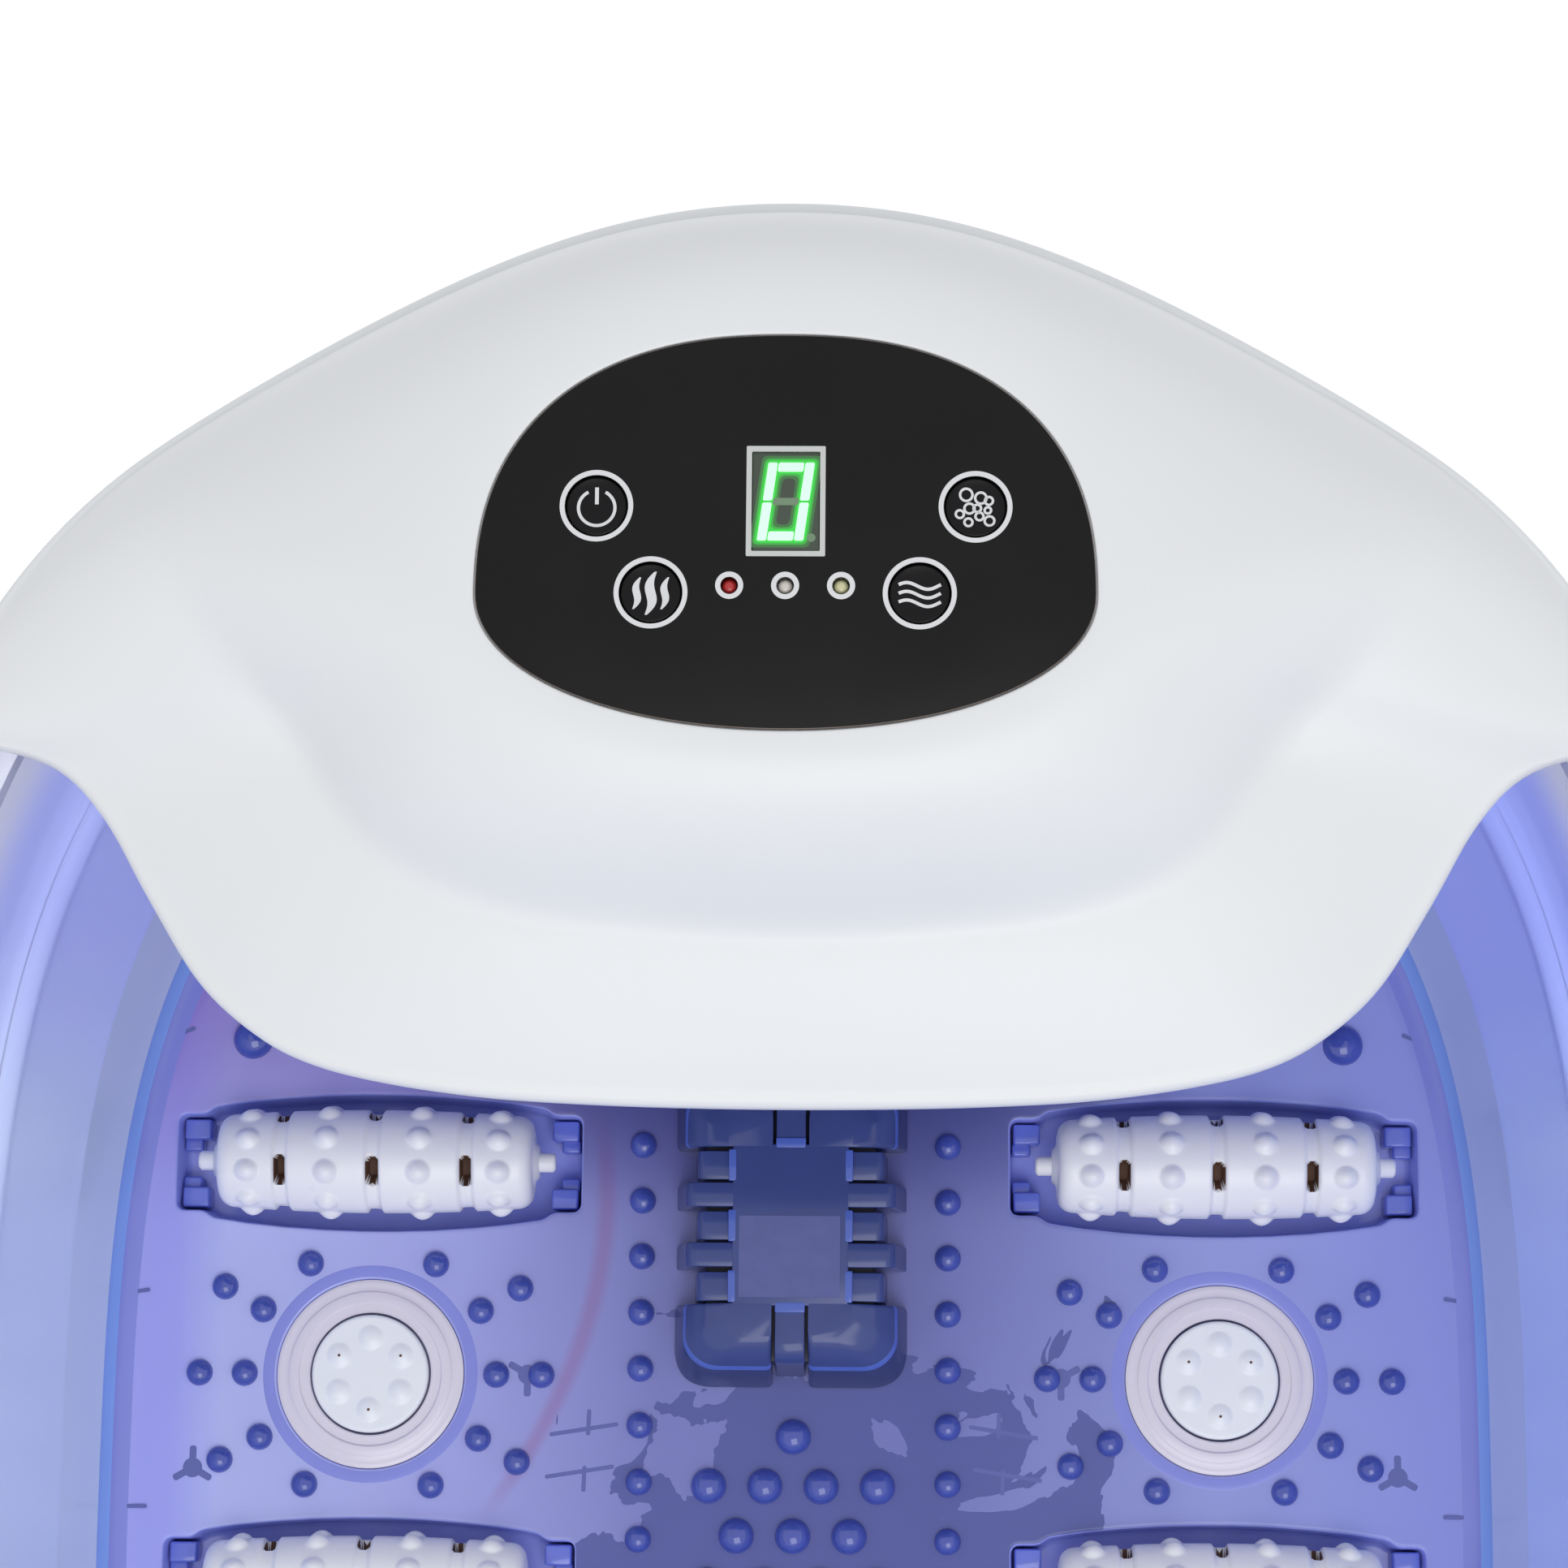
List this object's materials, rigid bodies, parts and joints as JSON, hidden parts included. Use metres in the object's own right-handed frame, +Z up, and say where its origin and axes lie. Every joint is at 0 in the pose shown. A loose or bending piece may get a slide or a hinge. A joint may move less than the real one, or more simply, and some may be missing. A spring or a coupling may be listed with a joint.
{
  "type": "foot spa bath",
  "caption": "Translucent foot bath with massage rollers, bubble discs, a guarded heater and a raised white control console with buttons, lamps and a digit display.",
  "frame": {"origin": "on the ground, below the middle of the outline", "axes": "+Z up, +Y from the middle towards the console, +X to the right of someone facing the console"},
  "size_m": [0.364, 0.4288, 0.195],
  "materials": {
    "white_plastic": "gloss",
    "blue_plastic": "gloss, translucent",
    "deep_blue_plastic": "gloss",
    "clear_plastic": "gloss",
    "black_plastic": "satin",
    "rubber": "matt",
    "board": "satin",
    "steel": "satin",
    "brass": "satin",
    "display": "gloss",
    "lamp_red": "gloss",
    "lamp_clear": "gloss",
    "lamp_yellow": "gloss",
    "grey_plastic": "matt"
  },
  "bodies": {
    "housing": {"base_pan": "white_plastic", "basin": "blue_plastic", "top_cover": "white_plastic", "console_tray": "white_plastic", "lead_duct": "white_plastic", "control_overlay": "black_plastic", "digit_display": "display", "heating_lamp": "lamp_red", "bubble_lamp": "lamp_clear", "vibration_lamp": "lamp_yellow", "control_board": "board", "heater_guard": "deep_blue_plastic", "heater_plate": "steel", "heater_gasket": "rubber", "heater_clamp": "steel", "thermostat": "grey_plastic", "air_pump": "grey_plastic", "air_hose_left": "clear_plastic", "air_hose_right": "clear_plastic", "vibration_motor": "grey_plastic", "motor_bracket": "grey_plastic", "power_board": "board", "console_lead": "rubber", "cord_gland": "white_plastic", "bubble_disc_left": "white_plastic", "bubble_disc_right": "white_plastic", "disc_ring_left": "clear_plastic", "disc_ring_right": "clear_plastic", "power_switch": "black_plastic", "bubble_switch": "black_plastic", "heating_switch": "black_plastic", "vibration_switch": "black_plastic", "foot_front_left": "rubber", "foot_front_right": "rubber", "foot_rear_left": "rubber", "foot_rear_right": "rubber", "base_screw_1": "steel", "base_screw_2": "steel", "base_screw_3": "steel", "base_screw_4": "steel", "base_screw_5": "steel", "base_screw_6": "steel", "base_screw_7": "steel", "base_screw_8": "steel", "cover_screw_1": "steel", "board_screw_1": "steel", "cover_screw_2": "steel", "board_screw_2": "steel"},
    "roller_front_left": {"roller_front_left": "white_plastic"},
    "roller_front_right": {"roller_front_right": "white_plastic"},
    "roller_rear_left": {"roller_rear_left": "white_plastic"},
    "roller_rear_right": {"roller_rear_right": "white_plastic"},
    "power_button": {"power_button": "black_plastic"},
    "bubble_button": {"bubble_button": "black_plastic"},
    "heating_button": {"heating_button": "black_plastic"},
    "vibration_button": {"vibration_button": "black_plastic"},
    "vibration_rotor": {"motor_shaft": "steel", "eccentric_weight": "brass"}
  },
  "joints": [
    {"name": "roller_front_left_spin", "type": "hinge", "parent": "housing", "child": "roller_front_left", "pos_m": [-0.091, 0.03815, 0.05], "axis": [1, 0, 0], "continuous": true},
    {"name": "roller_front_right_spin", "type": "hinge", "parent": "housing", "child": "roller_front_right", "pos_m": [0.091, 0.03815, 0.05], "axis": [1, 0, 0], "continuous": true},
    {"name": "roller_rear_left_spin", "type": "hinge", "parent": "housing", "child": "roller_rear_left", "pos_m": [-0.091, -0.05305, 0.05], "axis": [1, 0, 0], "continuous": true},
    {"name": "roller_rear_right_spin", "type": "hinge", "parent": "housing", "child": "roller_rear_right", "pos_m": [0.091, -0.05305, 0.05], "axis": [1, 0, 0], "continuous": true},
    {"name": "power_press", "type": "slide", "parent": "housing", "child": "power_button", "axis": [0, 0, -1], "range_m": [0, 0.0006], "stiffness_N_per_m": 1500},
    {"name": "bubble_press", "type": "slide", "parent": "housing", "child": "bubble_button", "axis": [0, 0, -1], "range_m": [0, 0.0006], "stiffness_N_per_m": 1500},
    {"name": "heating_press", "type": "slide", "parent": "housing", "child": "heating_button", "axis": [0, 0, -1], "range_m": [0, 0.0006], "stiffness_N_per_m": 1500},
    {"name": "vibration_press", "type": "slide", "parent": "housing", "child": "vibration_button", "axis": [0, 0, -1], "range_m": [0, 0.0006], "stiffness_N_per_m": 1500},
    {"name": "vibration_rotor_spin", "type": "hinge", "parent": "housing", "child": "vibration_rotor", "pos_m": [0.0185, -0.02235, 0.0254], "axis": [1, 0, 0], "continuous": true}
  ]
}
